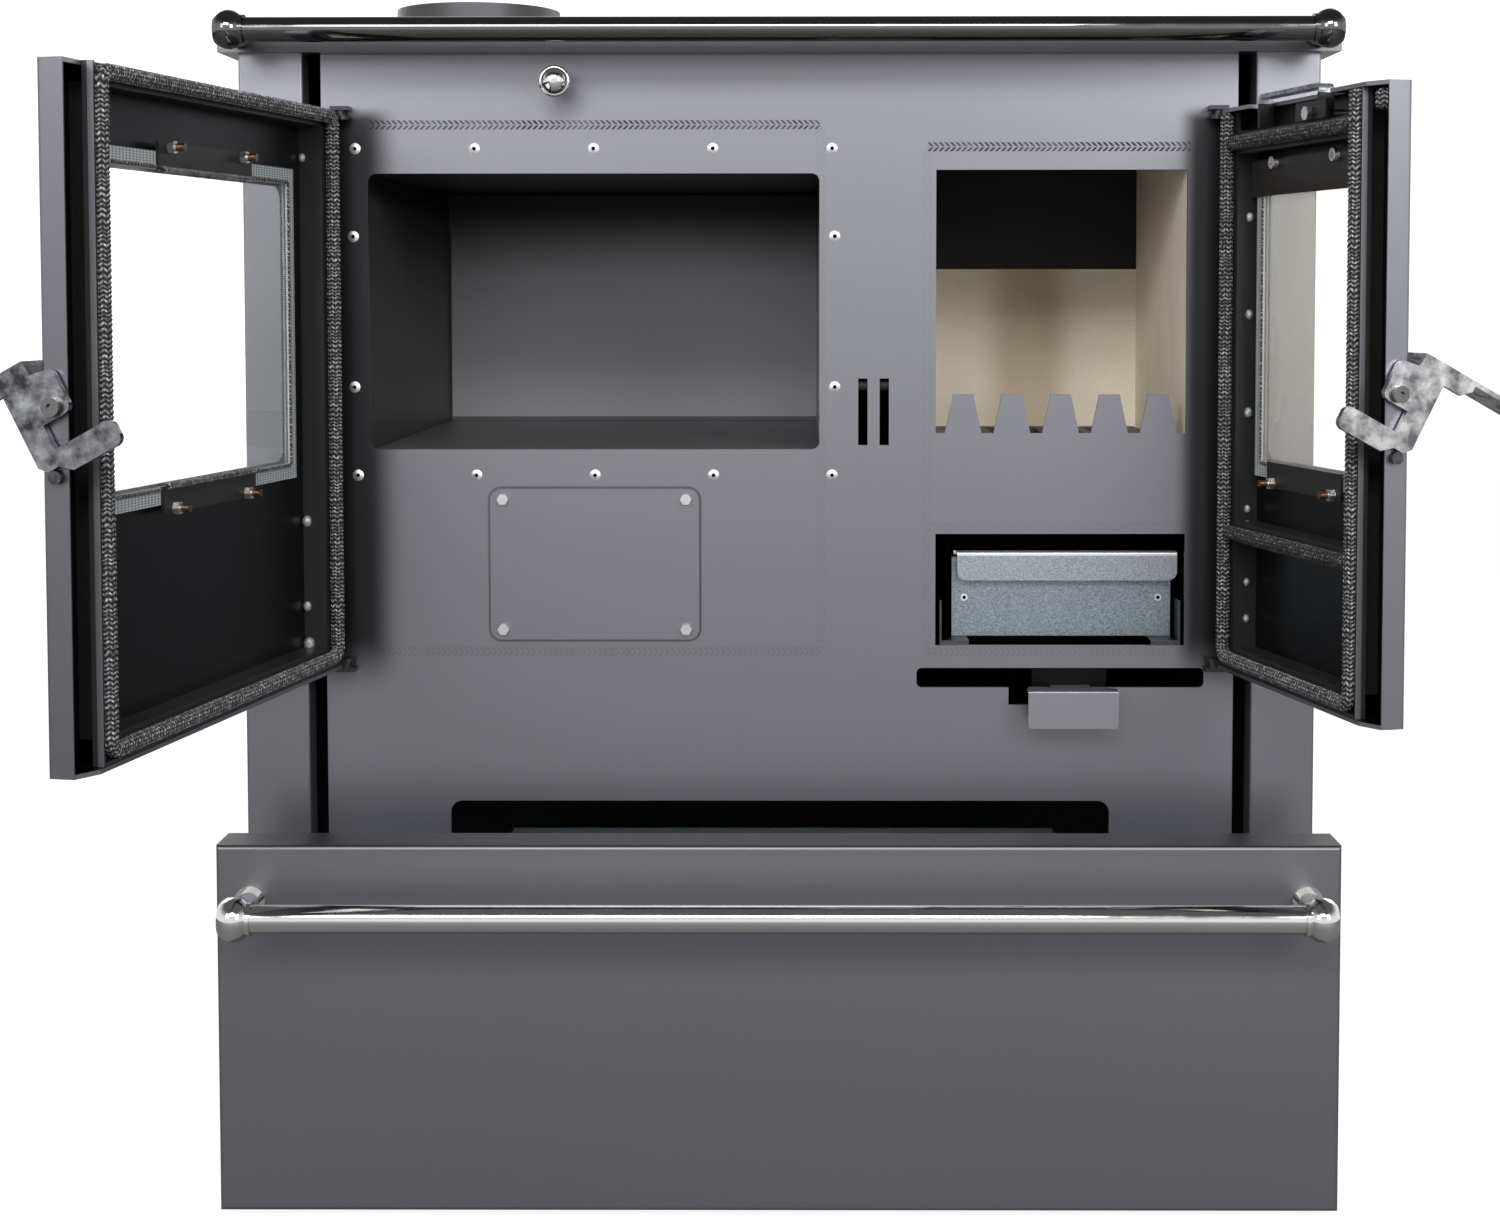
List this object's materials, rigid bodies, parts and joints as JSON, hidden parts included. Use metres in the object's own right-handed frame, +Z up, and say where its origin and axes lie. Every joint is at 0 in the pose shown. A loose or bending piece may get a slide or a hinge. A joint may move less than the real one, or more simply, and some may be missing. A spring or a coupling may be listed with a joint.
{
  "type": "wood cookstove",
  "caption": "Free-standing wood cookstove with an oven, a lined firebox, glazed hinged doors, an ash pan, a log drawer and a flue collar on its hob.",
  "frame": {"origin": "on the floor, under the front face of the front plate, midway across the stove", "axes": "+X to the right seen from the front, +Y from the front into the stove, +Z up"},
  "size_m": [1.0566, 0.9511, 0.9167],
  "materials": {
    "casing_paint": "satin anthracite heat paint on folded sheet",
    "plate_paint": "satin anthracite heat paint, with faint rope prints",
    "hob_paint": "satin anthracite heat paint",
    "drawer_paint": "satin anthracite heat paint",
    "door_paint": "satin anthracite heat paint on folded sheet",
    "frame_black": "black heat paint",
    "oven_steel": "grey heat-resisting coating",
    "inner_black": "black heat paint, not seen from outside",
    "guide_black": "black heat paint",
    "slider_paint": "satin anthracite paint, no lettering",
    "cast_black": "bare cast iron, as cast",
    "collar_paint": "matt dark heat paint",
    "chrome": "polished chrome plate",
    "galvanised": "galvanised sheet with fine spangle",
    "plated_latch": "zinc plate, lightly mottled, bright at the edges",
    "zinc_hardware": "zinc plated fasteners",
    "rivet_paint": "blind rivets, darkened",
    "firebrick": "pressed vermiculite, beige and speckled",
    "seal_rope": "braided glass-fibre rope, dark grey",
    "glass_tape": "woven glass-fibre tape, pale grey",
    "door_glass": "clear ceramic glass"
  },
  "bodies": {
    "stove": {"base_plate": "casing_paint", "left_side_panel": "casing_paint", "right_side_panel": "casing_paint", "rear_panel": "casing_paint", "front_plate": "plate_paint", "oven_box": "oven_steel", "oven_rivets": "rivet_paint", "soot_hatch_cover": "plate_paint", "soot_hatch_bolts": "zinc_hardware", "inner_side_walls": "inner_black", "inner_rear_wall": "inner_black", "smoke_floor": "inner_black", "firebox_partition": "inner_black", "firebox_floor": "inner_black", "side_bricks": "firebrick", "rear_brick": "firebrick", "firebox_rear_plate": "inner_black", "fire_grate": "cast_black", "ash_pan_guides": "guide_black", "damper_seat": "inner_black", "hob_frame": "hob_paint", "cooking_plate": "cast_black", "flue_collar": "collar_paint", "rail_tube": "chrome", "rail_ends": "chrome", "drawer_guides": "guide_black", "hinge_brackets": "casing_paint", "latch_keeper": "guide_black"},
    "oven_door": {"oven_door_shell": "door_paint", "oven_door_frame": "frame_black", "oven_door_rope": "seal_rope", "oven_door_glass": "door_glass", "oven_glass_tape": "glass_tape", "oven_glass_clips": "frame_black", "oven_clip_studs": "zinc_hardware", "oven_door_screws": "zinc_hardware"},
    "fire_door": {"fire_door_shell": "door_paint", "fire_door_frame": "frame_black", "fire_door_rope": "seal_rope", "fire_door_glass": "door_glass", "fire_glass_tape": "glass_tape", "fire_glass_clips": "frame_black", "fire_clip_studs": "zinc_hardware", "fire_door_screws": "zinc_hardware"},
    "oven_latch": {"oven_latch_lever": "plated_latch"},
    "fire_latch": {"fire_latch_lever": "plated_latch"},
    "drawer": {"drawer_front": "drawer_paint", "drawer_box": "galvanised", "drawer_handle_tube": "chrome", "drawer_handle_ends": "chrome"},
    "ash_pan": {"ash_pan": "galvanised", "ash_pan_lip": "galvanised", "ash_pan_rivets": "rivet_paint"},
    "air_slider": {"air_slider": "slider_paint"},
    "damper": {"damper_rod": "zinc_hardware", "damper_knob": "chrome", "damper_plate": "inner_black"},
    "air_wash": {"air_wash_slider": "slider_paint"},
    "lid": {"plate_lid": "cast_black"}
  },
  "joints": [
    {"name": "oven_door_swing", "type": "hinge", "parent": "stove", "child": "oven_door", "pos_m": [-0.325, -0.007, 0.5835], "axis": [0, 0, -1], "range_deg": [-100.6, 7]},
    {"name": "fire_door_swing", "type": "hinge", "parent": "stove", "child": "fire_door", "pos_m": [0.325, -0.007, 0.5835], "axis": [0, 0, 1], "range_deg": [-103.3, 5]},
    {"name": "oven_latch_lift", "type": "hinge", "parent": "oven_door", "child": "oven_latch", "pos_m": [-0.40906, -0.3855, 0.5918], "axis": [0.184, 0.9829, 0], "range_deg": [0, 11]},
    {"name": "fire_latch_lift", "type": "hinge", "parent": "fire_door", "child": "fire_latch", "pos_m": [0.39436, -0.2439, 0.5918], "axis": [0.23, -0.9732, 0], "range_deg": [0, 11]},
    {"name": "drawer_slide", "type": "slide", "parent": "stove", "child": "drawer", "axis": [0, -1, 0], "range_m": [-0.066, 0.2]},
    {"name": "ash_pan_slide", "type": "slide", "parent": "stove", "child": "ash_pan", "axis": [0, -1, 0], "range_m": [0, 0.2]},
    {"name": "air_slider_slide", "type": "slide", "parent": "stove", "child": "air_slider", "axis": [1, 0, 0], "range_m": [-0.075, 0.06]},
    {"name": "damper_pull", "type": "slide", "parent": "stove", "child": "damper", "axis": [0, -1, 0], "range_m": [0, 0.09]},
    {"name": "air_wash_slide", "type": "slide", "parent": "fire_door", "child": "air_wash", "axis": [-0.23, 0.9732, 0], "range_m": [-0.007, 0.007]},
    {"name": "lid_lift", "type": "slide", "parent": "stove", "child": "lid", "axis": [0, 0, 1], "range_m": [0, 0.05]}
  ]
}
